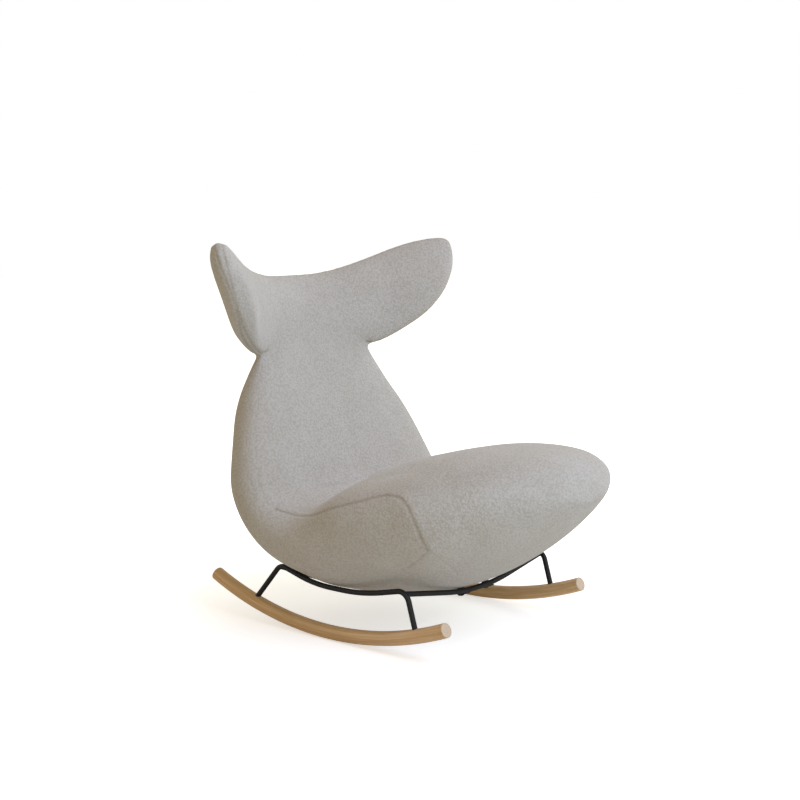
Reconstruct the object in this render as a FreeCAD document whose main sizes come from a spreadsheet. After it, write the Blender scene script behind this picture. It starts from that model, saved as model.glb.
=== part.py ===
"""Upholstered rocking chair: wooden runners, bent steel rods, a padded seat and back, a winged headrest.

Millimetres, +Z up. The sitter faces -Y and +X is the sitter's left. The origin is on the floor,
midway between the two runners, under the centre of their arcs, where the chair rocks.
"""
import FreeCAD, Part
import math
import os
import Sketcher
from FreeCAD import Placement, Rotation, Vector

doc = FreeCAD.newDocument("rocking_chair")
sheet = doc.addObject("Spreadsheet::Sheet", "sizes")

SIZES = {
    # runners: round bars bent to one arc
    "runner_diameter": 32,
    "runner_radius": 883,
    "runner_spacing": 504,
    "runner_front_angle": 22,
    "runner_rear_angle": 24,
    "runner_edge_round": 2,
    # rods under the seat: two side rods with legs, two cross rods
    "rod_diameter": 12,
    "knee_bend_radius": 26,
    "front_foot_reach": 250,
    "rear_foot_reach": 234,
    "front_knee_reach": 222,
    "front_knee_height": 146,
    "rear_knee_reach": 149,
    "rear_knee_height": 145,
    "rail_height": 117,
    "rail_low_front": 95,
    "rail_low_rear": 45,
    "rod_socket_depth": 14,
    "front_rod_drop": 41,
    "rear_rod_drop": 64,
    "rear_rod_shift": 69,
    "front_rod_flat": 120,
    "rear_rod_flat": 220,
    # fasteners between the rods and the seat frame
    "tab_width": 30,
    "tab_overhang": 9.5,
    "tab_thickness": 4,
    "tab_offset": 14.5,
    "tab_lap": 1,
    "front_tab_drop": 5,
    "rear_tab_drop": 0,
    "boss_spacing": 90,
    "boss_diameter": 16,
    "boss_bore_depth": 32,
    "bolt_diameter": 8,
    "bolt_length": 26,
    "bolt_head_width": 13,
    "bolt_head_height": 4,
    "washer_diameter": 16,
    "washer_thickness": 1.6,
    "runner_screw_diameter": 5,
    "runner_screw_grip": 16,
    "runner_screw_head": 9,
    "runner_screw_head_height": 4,
    "runner_screw_recess": 4,
    # steel frame inside the upholstery
    "tube_diameter": 16,
    "tube_wall": 1.5,
    "tube_bend_radius": 50,
    "seat_frame_width": 392,
    "seat_frame_reach": 330,
    "seat_frame_rise": 100,
    "frame_corner_y": 110,
    "frame_corner_height": 150,
    "neck_frame_width": 180,
    "headrest_post": 120,
    "neck_tube_drop": 60,
    "lumbar_tube_drop": 230,
    "strap_width": 40,
    "strap_thickness": 2,
    # seat and back form
    "body_width": 650,
    "seat_low_y": 62,
    "seat_low_height": 298,
    "crease_radius": 70,
    "seat_reach": 518,
    "nose_height": 338,
    "crown_reach": 385,
    "crown_height": 435,
    "belly_reach": 40,
    "belly_height": 74,
    "heel_rise": 16,
    "back_length": 332,
    "back_recline": 28.5,
    "lumbar_depth": 195,
    "neck_depth": 72,
    "neck_width": 346,
    "back_dish": 30,
    "seam_turn_reach": 300,
    "seam_turn_drop": 70,
    "seam_inner_depth": 16,
    # headrest
    "head_recline": 17.4,
    "head_shift": 2,
    "head_depth": 78,
    "wing_half_span": 400,
    "wing_sweep": 218,
    "wing_lower_radius": 245,
    "wing_tip_height": 255,
    "crest_height": 186,
    "wing_rise": 93,
    "tip_round": 14,
    "neck_tongue": 48,
    "notch_width": 14,
    "border_width": 12,
    "board_thickness": 8,
    "board_margin": 28,
    "board_reach": 368,
    "headrest_screw_diameter": 5,
    "headrest_screw_head": 10,
    "headrest_screw_head_height": 3,
    "headrest_screw_tip": 3,
    # cloth and fits
    "cloth_thickness": 2.5,
    "soft_gap": 0.4,
    "weld_gap": 0.2,
    "hole_clearance": 0.4,
}
for row, (name, value) in enumerate(SIZES.items(), start=1):
    sheet.set("A%d" % row, name)
    sheet.set("B%d" % row, str(value))
    sheet.setAlias("B%d" % row, name)
doc.recompute()


def size(name):
    return float(getattr(sheet, name))


X_AXIS = Vector(1, 0, 0)
Z_AXIS = Vector(0, 0, 1)
SIDES = {"left": 1, "right": -1}
nodes = []


def keep(obj, label):
    """Name a finished sub-part and list it for export."""
    obj.Label = label
    nodes.append(obj)
    return obj


def bound(kind, name, **formulas):
    """A document object whose sizes are bound to the sheet."""
    obj = doc.addObject(kind, name)
    for prop, formula in formulas.items():
        obj.setExpression(prop, formula)
    return obj


def solid_feature(name, shape):
    obj = doc.addObject("Part::Feature", name)
    obj.Shape = shape
    return obj


def cut(name, base, *tools):
    """A boolean cut of one object by one or more others."""
    result = base
    for count, tool in enumerate(tools):
        step = doc.addObject("Part::Cut", "%s_%d" % (name, count))
        step.Base = result
        step.Tool = tool
        result = step
    return result


def along(direction, start):
    """Placement that lays a +Z primitive along a direction from a start point."""
    return Placement(start, Rotation(Z_AXIS, direction))


def yz(y, z, x=0.0):
    return Vector(x, y, z)


def tilted(angle):
    """Unit vector in the side plane, at an angle above +Y in degrees."""
    return yz(math.cos(math.radians(angle)), math.sin(math.radians(angle)))


# Bent rods and tubes

def rounded_path(points, radii):
    """Straight runs joined by tangent arcs, one radius for each inner point."""
    edges = []
    start = points[0]
    for before, corner, after, radius in zip(points, points[1:], points[2:], radii):
        back = (before - corner).normalize()
        ahead = (after - corner).normalize()
        half = back.getAngle(ahead) / 2
        inward = (back + ahead).normalize()
        arc_start = corner + back * (radius / math.tan(half))
        arc_end = corner + ahead * (radius / math.tan(half))
        arc_middle = corner + inward * (radius / math.sin(half) - radius)
        edges.append(Part.makeLine(start, arc_start))
        edges.append(Part.Arc(arc_start, arc_middle, arc_end).toShape())
        start = arc_end
    edges.append(Part.makeLine(start, points[-1]))
    return Part.Wire(edges)


BEND_SHARE = 0.45


def wide_radius(before, corner, after):
    """The radius of a bend that takes up BEND_SHARE of the shorter run beside it."""
    back = before - corner
    ahead = after - corner
    half = back.getAngle(ahead) / 2
    return BEND_SHARE * min(back.Length, ahead.Length) * math.tan(half)


def swept(name, path, radius_formula):
    """A round bar along a path, its radius bound to the sheet."""
    spine = solid_feature(name + "_path", path)
    circle = bound("Part::Circle", name + "_section", Radius=radius_formula)
    first = path.Edges[0]
    circle.Placement = along(first.tangentAt(first.FirstParameter), first.Vertexes[0].Point)
    bar = doc.addObject("Part::Sweep", name)
    bar.Sections = [circle]
    bar.Spine = (spine, ["Edge%d" % (n + 1) for n in range(len(path.Edges))])
    bar.Solid = True
    bar.Frenet = True
    return bar


# Runners and the bent rods that stand on them

runner_r = size("runner_diameter") / 2
arc_centre_height = size("runner_radius") + runner_r
runner_x = size("runner_spacing") / 2
rod_r = size("rod_diameter") / 2


def runner_point(y):
    """Point on the runner's centreline at a distance from the lowest point."""
    return yz(y, arc_centre_height - math.sqrt(size("runner_radius") ** 2 - y ** 2))


front_knee = yz(-size("front_knee_reach"), size("front_knee_height"))
rear_knee = yz(size("rear_knee_reach"), size("rear_knee_height"))
LEGS = {
    "front": (runner_point(-size("front_foot_reach")), front_knee),
    "rear": (runner_point(size("rear_foot_reach")), rear_knee),
}


def leg_axis(end):
    """Upward unit vector of a leg, its rod end inside the runner, and the runner's centre there."""
    centre, knee = LEGS[end]
    upward = (knee - centre).normalize()
    rod_end = centre + upward * (runner_r - size("rod_socket_depth"))
    return upward, rod_end, centre


def sideways(point, x):
    return Vector(x, point.y, point.z)


screw_length = size("runner_screw_head_height") + size("runner_screw_grip")
screw_seat = runner_r - size("runner_screw_recess") - size("runner_screw_head_height")
screw_solids = []
rod_rooms = []
for side, sign in SIDES.items():
    x = sign * runner_x
    bar = bound("Part::Torus", "runner_bar_" + side, Radius1="sizes.runner_radius",
                Radius2="sizes.runner_diameter / 2",
                Angle3="sizes.runner_front_angle + sizes.runner_rear_angle")
    front_end = math.radians(size("runner_front_angle"))
    bar.Placement = Placement(
        Vector(x, 0, arc_centre_height),
        Rotation(yz(-math.sin(front_end), -math.cos(front_end)),
                 yz(math.cos(front_end), -math.sin(front_end)), X_AXIS, "ZXY"))
    doc.recompute()
    end_edges = [n + 1 for n, edge in enumerate(bar.Shape.Edges)
                 if edge.Curve.TypeId == "Part::GeomCircle"
                 and abs(edge.Curve.Radius - runner_r) < 0.01 and len(edge.Vertexes) == 1]
    eased = doc.addObject("Part::Fillet", "runner_eased_" + side)
    eased.Base = bar
    ease = size("runner_edge_round")
    eased.Edges = [(n, ease, ease) for n in end_edges]

    tools = []
    for end in LEGS:
        upward, rod_end, centre = leg_axis(end)
        socket = bound("Part::Cylinder", "socket_%s_%s" % (end, side),
                       Radius="sizes.rod_diameter / 2 + sizes.hole_clearance / 2",
                       Height="sizes.rod_socket_depth + sizes.runner_diameter")
        socket.Placement = along(upward, sideways(rod_end, x))
        shank = bound("Part::Cylinder", "screw_way_%s_%s" % (end, side),
                      Radius="sizes.runner_screw_diameter / 2 + sizes.hole_clearance / 2",
                      Height="sizes.runner_diameter")
        shank.Placement = along(upward, sideways(centre - upward * runner_r, x))
        recess = bound("Part::Cylinder", "screw_recess_%s_%s" % (end, side),
                       Radius="sizes.runner_screw_head / 2 + sizes.hole_clearance",
                       Height="sizes.runner_diameter")
        recess.Placement = along(upward * -1, sideways(centre - upward * screw_seat, x))
        tools += [socket, shank, recess]

        head = Part.makeCylinder(size("runner_screw_head") / 2, size("runner_screw_head_height"))
        stem = Part.makeCylinder(size("runner_screw_diameter") / 2, screw_length)
        screw = head.fuse(stem)
        seat = centre - upward * (screw_seat + size("runner_screw_head_height"))
        screw.Placement = along(upward, sideways(seat, x))
        screw_solids.append(screw)
    keep(cut("runner_cut_" + side, eased, *tools), "runner_" + side)

    front_up, front_end_point, _ = leg_axis("front")
    rear_up, rear_end_point, _ = leg_axis("rear")
    rail_front = yz(-size("rail_low_front"), size("rail_height"))
    rail_rear = yz(size("rail_low_rear"), size("rail_height"))
    route = [sideways(p, x) for p in
             (front_end_point, front_knee, rail_front, rail_rear, rear_knee, rear_end_point)]
    knee = size("knee_bend_radius")
    bends = [knee, wide_radius(*route[1:4]), wide_radius(*route[2:5]), knee]
    rod = swept("side_rod_bar_" + side, rounded_path(route, bends), "sizes.rod_diameter / 2")
    room = swept("side_rod_room_" + side, rounded_path(route, bends),
                 "sizes.rod_diameter / 2 + sizes.weld_gap")
    rod_rooms.append(room)
    threads = []
    for end in LEGS:
        upward, rod_end, _ = leg_axis(end)
        thread = bound("Part::Cylinder", "rod_thread_%s_%s" % (end, side),
                       Radius="sizes.runner_screw_diameter / 2 + sizes.hole_clearance / 4",
                       Height="sizes.runner_screw_grip")
        thread.Placement = along(upward, sideways(rod_end, x))
        threads.append(thread)
    keep(cut("side_rod_cut_" + side, rod, *threads), "side_rod_" + side)

keep(solid_feature("runner_screw_set", Part.makeCompound(screw_solids)), "runner_screws")

# Cross rods, their ends coped to the knees of the side rods, dipping under the belly
CROSS = {
    "front": (front_knee, front_knee - yz(0, size("front_rod_drop"))),
    "rear": (rear_knee, rear_knee - yz(size("rear_rod_shift"), size("rear_rod_drop"))),
}
INWARD = {"front": 1, "rear": -1}
for end, (knee_point, low_point) in CROSS.items():
    # the bend lowers the side rod's axis below the knee's sharp corner
    leg_up, _, _ = leg_axis(end)
    rail_point = rail_front if end == "front" else rail_rear
    to_rail = (rail_point - knee_point).normalize()
    half_turn = to_rail.getAngle(leg_up * -1) / 2
    inward = (to_rail - leg_up).normalize()
    on_axis = knee_point + inward * (size("knee_bend_radius") * (1 / math.sin(half_turn) - 1))
    flat = size(end + "_rod_flat") / 2
    route = [sideways(on_axis, -runner_x), sideways(low_point, -flat),
             sideways(low_point, flat), sideways(on_axis, runner_x)]
    bends = [wide_radius(*route[:3]), wide_radius(*route[1:])]
    rod = swept(end + "_cross_rod_bar", rounded_path(route, bends), "sizes.rod_diameter / 2")
    keep(cut(end + "_cross_rod_coped", rod, *rod_rooms), end + "_cross_rod")

# Mounting tabs on the cross rods' inner sides, their bolts and washers, and the frame's bosses


def rectangle_with_hole(body, name, bounds, hole_y, hole_diameter):
    """Sketch of a rectangle with one round hole, its sizes bound to the sheet."""
    sketch = body.newObject("Sketcher::SketchObject", name)
    plane = [f for f in body.Origin.OriginFeatures if f.Role == "XY_Plane"][0]
    sketch.AttachmentSupport = (plane, [""])
    sketch.MapMode = "FlatFace"
    corners = [Vector(-1, -1, 0), Vector(1, -1, 0), Vector(1, 1, 0), Vector(-1, 1, 0)]
    for first, second in zip(corners, corners[1:] + corners[:1]):
        sketch.addGeometry(Part.LineSegment(first, second))
    for n in range(4):
        sketch.addConstraint(Sketcher.Constraint("Coincident", n, 2, (n + 1) % 4, 1))
    for n, way in enumerate(("Horizontal", "Vertical", "Horizontal", "Vertical")):
        sketch.addConstraint(Sketcher.Constraint(way, n))
    circle = sketch.addGeometry(Part.Circle(Vector(0, 0, 0), Z_AXIS, 1))
    dims = {
        "left": ("DistanceX", 0, 1, -1, 1), "right": ("DistanceX", -1, 1, 0, 2),
        "near": ("DistanceY", 0, 1, -1, 1), "far": ("DistanceY", -1, 1, 2, 1),
    }
    for label, (way, *where) in dims.items():
        index = sketch.addConstraint(Sketcher.Constraint(way, *where, 1.0))
        sketch.renameConstraint(index, label)
        sketch.setExpression("Constraints." + label, bounds[label])
    sketch.addConstraint(Sketcher.Constraint("PointOnObject", circle, 3, -2))
    index = sketch.addConstraint(Sketcher.Constraint("DistanceY", -1, 1, circle, 3, 1.0))
    sketch.renameConstraint(index, "hole_y")
    sketch.setExpression("Constraints.hole_y", hole_y)
    index = sketch.addConstraint(Sketcher.Constraint("Diameter", circle, 1.0))
    sketch.renameConstraint(index, "hole")
    sketch.setExpression("Constraints.hole", hole_diameter)
    return sketch


tab_body = doc.addObject("PartDesign::Body", "tab_body")
half_tab = "sizes.tab_width / 2"
tab_sketch = rectangle_with_hole(
    tab_body, "tab_outline",
    {"left": half_tab, "right": half_tab, "near": "sizes.tab_lap",
     "far": "sizes.tab_offset + sizes.tab_overhang"},
    "sizes.tab_offset", "sizes.bolt_diameter + 2 * sizes.hole_clearance")
tab_pad = tab_body.newObject("PartDesign::Pad", "tab_pad")
tab_pad.Profile = tab_sketch
tab_pad.setExpression("Length", "sizes.tab_thickness")

washer_disc = bound("Part::Cylinder", "washer_disc", Radius="sizes.washer_diameter / 2",
                    Height="sizes.washer_thickness")
washer_hole = bound("Part::Cylinder", "washer_hole", Height="sizes.washer_thickness",
                    Radius="sizes.bolt_diameter / 2 + sizes.hole_clearance")
washer = cut("washer", washer_disc, washer_hole)

bolt_head = bound("Part::Prism", "bolt_head", Circumradius="sizes.bolt_head_width / sqrt(3)",
                  Height="sizes.bolt_head_height")
bolt_stem = bound("Part::Cylinder", "bolt_stem", Radius="sizes.bolt_diameter / 2",
                  Height="sizes.bolt_head_height + sizes.bolt_length")
bolt = doc.addObject("Part::Fuse", "bolt")
bolt.Base = bolt_head
bolt.Tool = bolt_stem
doc.recompute()

frame_slope = size("seat_frame_rise") / (size("frame_corner_y") + size("seat_frame_reach"))
tube_r = size("tube_diameter") / 2


def seat_frame_height(y):
    return size("frame_corner_height") + (size("frame_corner_y") - y) * frame_slope


tabs, washers, bolts, bosses, boss_holes = [], [], [], [], []
BOSS_Y = {}
for end, (_, low_point) in CROSS.items():
    tab_top = low_point.z + size("tab_thickness") / 2 - size(end + "_tab_drop")
    boss_y = low_point.y + INWARD[end] * size("tab_offset")
    BOSS_Y[end] = boss_y
    boss_top = seat_frame_height(boss_y) - tube_r / math.cos(math.atan(frame_slope)) - size("weld_gap")
    for sign in SIDES.values():
        x = sign * size("boss_spacing") / 2
        turn = Rotation(Z_AXIS, 0 if end == "front" else 180)
        tab = tab_body.Shape.copy()
        tab.Placement = Placement(Vector(x, low_point.y, tab_top - size("tab_thickness")), turn)
        rod_room = Part.makeCylinder(rod_r + size("weld_gap"), size("tab_width"),
                                     low_point + X_AXIS * (x - size("tab_width") / 2), X_AXIS)
        tabs.append(tab.cut(rod_room))
        under = tab_top - size("tab_thickness") - size("washer_thickness")
        ring = washer.Shape.copy()
        ring.Placement = Placement(Vector(x, boss_y, under), Rotation())
        washers.append(ring)
        screw = bolt.Shape.copy()
        screw.Placement = Placement(Vector(x, boss_y, under - size("bolt_head_height")), Rotation())
        bolts.append(screw)
        foot = Vector(x, boss_y, tab_top)
        boss = Part.makeCylinder(size("boss_diameter") / 2, boss_top - tab_top, foot)
        bore = Part.makeCylinder(size("bolt_diameter") / 2 + size("hole_clearance") / 4,
                                 size("boss_bore_depth"), foot)
        bosses.append(boss.cut(bore))
        boss_holes.append(Part.makeCylinder(size("boss_diameter") / 2 + size("soft_gap"),
                                            boss_top - tab_top + tube_r, foot))
keep(solid_feature("tab_set", Part.makeCompound(tabs)), "mount_tabs")
keep(solid_feature("washer_set", Part.makeCompound(washers)), "mount_washers")
keep(solid_feature("bolt_set", Part.makeCompound(bolts)), "mount_bolts")
keep(solid_feature("boss_set", Part.makeCompound(bosses)), "mount_bosses")

# Form of the seat and back: sections that fan from the neck down round the crease to the nose

back_up = tilted(90 - size("back_recline"))
back_out = tilted(-size("back_recline"))
crease_centre = yz(size("seat_low_y"), size("seat_low_height") + size("crease_radius"))
back_foot = crease_centre + back_out * size("crease_radius")
neck_front = back_foot + back_up * size("back_length")
neck_middle = neck_front + back_out * (size("neck_depth") / 2)

BACK_STEPS = (0.0, 0.17, 0.4, 0.7, 1.0)
FAN_STEPS = (0.25, 0.5, 0.75, 1.0)
NOSE_ANGLES = (11, 22, 33, 44, 55, 66, 77, 86)
CREASE_ROW = len(BACK_STEPS) + FAN_STEPS.index(0.5)
NOSE_ROW = len(BACK_STEPS) + len(FAN_STEPS) + NOSE_ANGLES.index(33)
BACK_CORNER = 3.4
BACK_ROUND = 2.15
CREASE_CORNER = 3.25
CREASE_HOLD = 0.6
CREASE_FADE = 22
SEAT_CORNER = 2.7
ROUND = 2.0
BACK_FACE_SHARE = 0.45
SEAT_FACE_SHARE = 0.405
PLAN_ROUNDNESS = 2.6
SHOULDER_CURVE = 1.5
DEPTH_CURVE = 4.0
CROWN_RISE = 0.79
SEAM_ANGLE = 31
ARC_TURN = 30
LOFT_DEGREE = 2


def mix(start, end, share):
    return start + (end - start) * share


def seat_top(y):
    """Height of the seat's middle line, from the crease over the crown to the nose."""
    crown_y = -size("crown_reach")
    if y > crown_y:
        share = (size("seat_low_y") - y) / (size("seat_low_y") - crown_y)
        return mix(size("seat_low_height"), size("crown_height"),
                   math.sin(math.pi / 2 * share ** CROWN_RISE))
    share = (crown_y - y) / (crown_y + size("seat_reach"))
    return mix(size("nose_height"), size("crown_height"), math.sqrt(1 - share ** 2))


def seat_bottom(y):
    """Height of the belly's middle line."""
    belly_y = -size("belly_reach")
    if y > belly_y:
        share = (y - belly_y) / (size("seat_low_y") - belly_y)
        return size("belly_height") + size("heel_rise") * share ** 2
    share = (belly_y - y) / (belly_y + size("seat_reach"))
    return mix(size("belly_height"), size("nose_height"), share ** 2)


def body_stations():
    """Rows of inner point, outward direction, depth, half width, face share, corner, dish and roundness."""
    rows = []
    half = size("body_width") / 2
    for step in BACK_STEPS:
        depth = mix(size("neck_depth"), size("lumbar_depth"), 1 - (1 - step) ** DEPTH_CURVE)
        width = mix(size("neck_width") / 2, half, 1 - (1 - step) ** SHOULDER_CURVE)
        point = neck_front - back_up * (size("back_length") * step)
        rows.append((point, back_out, depth, width, BACK_FACE_SHARE, BACK_CORNER,
                     size("back_dish") * (1 - step), BACK_ROUND))
    seat_depth = size("seat_low_height") - seat_bottom(size("seat_low_y"))
    for step in FAN_STEPS:
        out = tilted(-mix(size("back_recline"), 90, step))
        rows.append((crease_centre + out * size("crease_radius"), out,
                     mix(size("lumbar_depth"), seat_depth, step), half,
                     mix(BACK_FACE_SHARE, SEAT_FACE_SHARE, step),
                     mix(BACK_CORNER, CREASE_CORNER, step), 0.0, mix(BACK_ROUND, ROUND, step)))
    span = size("seat_low_y") + size("seat_reach")
    for angle in NOSE_ANGLES:
        share = math.sin(math.radians(angle))
        y = size("seat_low_y") - span * share
        plan = max(0.0, -y) / size("seat_reach")
        width = half * math.sqrt(1 - plan ** PLAN_ROUNDNESS)
        hold = CREASE_HOLD * max(0.0, 1 - angle / CREASE_FADE)
        corner = mix(mix(SEAT_CORNER, ROUND, share), CREASE_CORNER, hold)
        rows.append((yz(y, seat_top(y)), tilted(-90), seat_top(y) - seat_bottom(y), width,
                     SEAT_FACE_SHARE, corner, 0.0, ROUND))
    return rows


def powered(value, corner):
    return math.copysign(abs(value) ** (2 / corner), value)


def loop(outline):
    """Closed wire of arcs along an outline given as a function of its turn angle."""
    points = [outline(math.radians(turn)) for turn in range(0, 361, ARC_TURN // 2)]
    return Part.Wire([Part.Arc(*points[n:n + 3]).toShape() for n in range(0, len(points) - 1, 2)])


def smooth(points):
    """Edge of a smooth curve through points."""
    curve = Part.BSplineCurve()
    curve.interpolate(points)
    return curve.toShape()


def body_outline(row, inset):
    """A section as a function of its turn angle, flat towards the sitter and round outside."""
    point, out, depth, width, face_share, corner, dish, roundness = row
    inset = min(inset, width / 2)
    width = width - inset
    face = depth * face_share - inset
    shell = depth * (1 - face_share) - inset

    def outline(turn):
        outside = math.sin(turn) > 0
        power = roundness if outside else corner
        across = width * powered(math.cos(turn), power)
        deep = (shell if outside else face) * powered(math.sin(turn), power)
        lift = dish * (across / width) ** 2
        return point + out * (depth * face_share + deep - lift) + X_AXIS * across
    return outline


def loft(wires):
    """Smooth solid through closed sections, of a low degree so that it doesn't swing out between them."""
    return Part.makeLoft(wires, True, False, False, LOFT_DEGREE)


cloth = size("cloth_thickness")
gap = size("soft_gap")
rows = body_stations()
crease_out = rows[CREASE_ROW][1]
toward_back = X_AXIS.cross(crease_out).normalize()


def body_form(inset):
    """The whole form of seat and back, smaller all round by an inset."""
    point, *others = rows[-1]
    tip = (point + yz(inset, 0), *others)
    return loft([loop(body_outline(row, inset)) for row in rows[:-1] + [tip]])


def crease_block(way, spare):
    """A large block on the back's side (1) or the seat's side (-1) of the crease, a little off it."""
    reach = size("seat_reach") + size("back_length")
    block = Part.makeBox(2 * reach, 2 * reach, reach, Vector(-reach, -reach, 0))
    block.Placement = along(toward_back * way, rows[CREASE_ROW][0] + toward_back * (way * spare))
    return block


fill_inset = cloth + gap
filling = body_form(fill_inset)
back_filling = filling.common(crease_block(1, gap / 2))
seat_filling = filling.common(crease_block(-1, gap / 2))

# Frame tubes: each runs along the seat, up the back and into the headrest

head_up = tilted(90 - size("head_recline"))
head_out = tilted(-size("head_recline"))


def wing_sweep(x):
    """How far the headrest's middle surface comes forward at a distance from the centre."""
    return size("wing_sweep") * (x / size("wing_half_span")) ** 2


def on_head(x, height, depth):
    """Point of the headrest from its place across, its height above the neck and its depth."""
    slope = 2 * size("wing_sweep") * x / size("wing_half_span") ** 2
    normal = (head_out + X_AXIS * slope).normalize()
    middle = neck_middle - yz(wing_sweep(x) + size("head_shift"), 0)
    return middle + X_AXIS * x + head_up * height + normal * depth


post_x = size("neck_frame_width") / 2
post_depth = tube_r + size("weld_gap")
post_foot = on_head(post_x, 0.0, post_depth)
post_top = on_head(post_x, size("headrest_post"), post_depth)
seat_corner = Vector(size("seat_frame_width") / 2, size("frame_corner_y"), size("frame_corner_height"))
seat_front = Vector(size("seat_frame_width") / 2, -size("seat_frame_reach"),
                    size("frame_corner_height") + size("seat_frame_rise"))


def mirrored(point, sign):
    return Vector(sign * point.x, point.y, point.z)


frame_cavities = []
tubes = {}
for side, sign in SIDES.items():
    route = [mirrored(p, sign) for p in (seat_front, seat_corner, post_foot, post_top)]
    bends = [size("tube_bend_radius"), wide_radius(*route[1:])]
    path = rounded_path(route, bends)
    outside = swept("frame_tube_outside_" + side, path, "sizes.tube_diameter / 2")
    inside = swept("frame_tube_inside_" + side, path, "sizes.tube_diameter / 2 - sizes.tube_wall")
    cavity = swept("frame_tube_cavity_" + side, path, "sizes.tube_diameter / 2 + sizes.soft_gap")
    tubes[side] = (outside, inside)
    doc.recompute()
    frame_cavities.append(cavity.Shape)

SCREW_HEIGHTS = (0.5, 0.85)
screw_reach = size("board_thickness") + size("tube_wall") + size("headrest_screw_tip")
headrest_screws, screw_ways, head_cavities = [], [], []
for sign in SIDES.values():
    for share in SCREW_HEIGHTS:
        height = size("headrest_post") * share
        face = mirrored(on_head(post_x, height, -size("board_thickness")), sign)
        inner = mirrored(on_head(post_x, height, post_depth), sign)
        inward = (inner - face).normalize()
        head_start = face - inward * (size("headrest_screw_head_height") + size("weld_gap"))
        head = Part.makeCylinder(size("headrest_screw_head") / 2,
                                 size("headrest_screw_head_height"), head_start, inward)
        stem = Part.makeCylinder(size("headrest_screw_diameter") / 2,
                                 size("headrest_screw_head_height") + screw_reach, head_start, inward)
        headrest_screws.append(head.fuse(stem))
        screw_ways.append(Part.makeCylinder(
            size("headrest_screw_diameter") / 2 + size("hole_clearance") / 2,
            screw_reach + size("hole_clearance"), face, inward))
        head_cavities.append(Part.makeCylinder(
            size("headrest_screw_head") / 2 + gap,
            2 * size("headrest_screw_head_height"), face - inward *
            (size("headrest_screw_head_height") + gap), inward))
keep(solid_feature("headrest_screw_set", Part.makeCompound(headrest_screws)), "headrest_screws")
screw_holes = solid_feature("screw_holes", Part.makeCompound(screw_ways))
for side, (outside, inside) in tubes.items():
    keep(cut("frame_tube_cut_" + side, outside, inside, screw_holes), "frame_tube_" + side)

# Straight tubes across the frame, welded between the two long ones


def cross_tube(label, centre, half_length):
    start = centre - X_AXIS * half_length
    outer = bound("Part::Cylinder", label + "_outside", Radius="sizes.tube_diameter / 2")
    inner = bound("Part::Cylinder", label + "_inside", Radius="sizes.tube_diameter / 2 - sizes.tube_wall")
    for cylinder in (outer, inner):
        cylinder.Height = 2 * half_length
        cylinder.Placement = along(X_AXIS, start)
    # the hollow in the foam runs on into those of the long tubes
    frame_cavities.append(Part.makeCylinder(tube_r + gap, 2 * half_length + tube_r,
                                            start - X_AXIS * (tube_r / 2), X_AXIS))
    return keep(cut(label + "_cut", outer, inner), label)


seat_half = size("seat_frame_width") / 2 - tube_r - size("weld_gap")
back_run = seat_corner - post_foot
lean = math.atan2(back_run.x, math.hypot(back_run.y, back_run.z))
for label, y in (("seat_front_tube", -size("seat_frame_reach") + tube_r),
                 ("seat_middle_tube", BOSS_Y["front"]), ("seat_rear_tube", BOSS_Y["rear"])):
    cross_tube(label, yz(y, seat_frame_height(y)), seat_half)
for label, drop in (("neck_tube", size("neck_tube_drop")), ("lumbar_tube", size("lumbar_tube_drop"))):
    spot = post_foot + back_run * (drop / back_run.Length)
    end_gap = tube_r / math.cos(lean) + tube_r * math.tan(lean) + size("weld_gap")
    cross_tube(label, sideways(spot, 0), spot.x - end_gap)

# Webbing straps stretched across the tubes, under the seat foam and behind the back foam


def strap(spot, run, toward_sitter, thickness, width, overhang):
    """A flat band across the two tubes at one place on their run."""
    up = yz(run.y, run.z).normalize()
    half = abs(spot.x) + tube_r + overhang
    band = Part.makeBox(2 * half, thickness, width, Vector(-half, 0, -width / 2))
    turn = Rotation(X_AXIS, toward_sitter, up, "ZXY")
    rest = tube_r + size("weld_gap") - (thickness - size("strap_thickness")) / 2
    band.Placement = Placement(sideways(spot, 0) + toward_sitter * rest, turn)
    return band


seat_run = seat_front - seat_corner
SEAT_STRAPS = (0.24, 0.42, 0.84)
BACK_STRAPS = (0.3, 0.72, 0.86)
STRAPS = {
    "seat_webbing": (seat_corner, seat_run, SEAT_STRAPS),
    "back_webbing": (post_foot, back_run, BACK_STRAPS),
}
for label, (start, run, shares) in STRAPS.items():
    along_run = yz(run.y, run.z).normalize()
    toward = X_AXIS.cross(along_run).normalize()
    if toward.z < 0:
        toward = toward * -1
    bands = []
    for share in shares:
        spot = start + run * share
        bands.append(strap(spot, run, toward, size("strap_thickness"), size("strap_width"), 0.0))
        frame_cavities.append(strap(spot, run, toward, size("strap_thickness") + 2 * gap,
                                    size("strap_width") + 2 * gap, gap))
    keep(solid_feature(label + "_set", Part.makeCompound(bands)), label)

# Headrest form: sections across the wings, square to the swept middle surface

WING_STEPS = (0.0, 0.2, 0.38, 0.54, 0.68, 0.8, 0.89, 0.955, 0.988, 0.999)
HEAD_CORNER = 2.25
CREST_CURVE = 1.4
TIP_THINNING = 8
THIN_EDGE = 0.8


def wing_heights(x):
    """Lower and upper edge of the headrest at a distance from the centre."""
    x = abs(x)
    span = size("wing_half_span")
    radius = size("wing_lower_radius")
    arc_x = span - radius
    tip = size("wing_tip_height")
    if x > arc_x:
        low = tip - math.sqrt(radius ** 2 - (x - arc_x) ** 2)
    else:
        low = tip - radius - size("neck_tongue") * (1 - (x / arc_x) ** 2)
    peak = size("crest_height") + size("wing_rise")
    top = mix(size("crest_height"), peak, math.sin(math.pi / 2 * (x / span) ** CREST_CURVE) ** 2)
    round_start = span - size("tip_round")
    if x > round_start:
        bend = (x - round_start) / size("tip_round")
        top -= (peak - tip) * (1 - math.sqrt(1 - bend ** 2))
    return low, top


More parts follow.
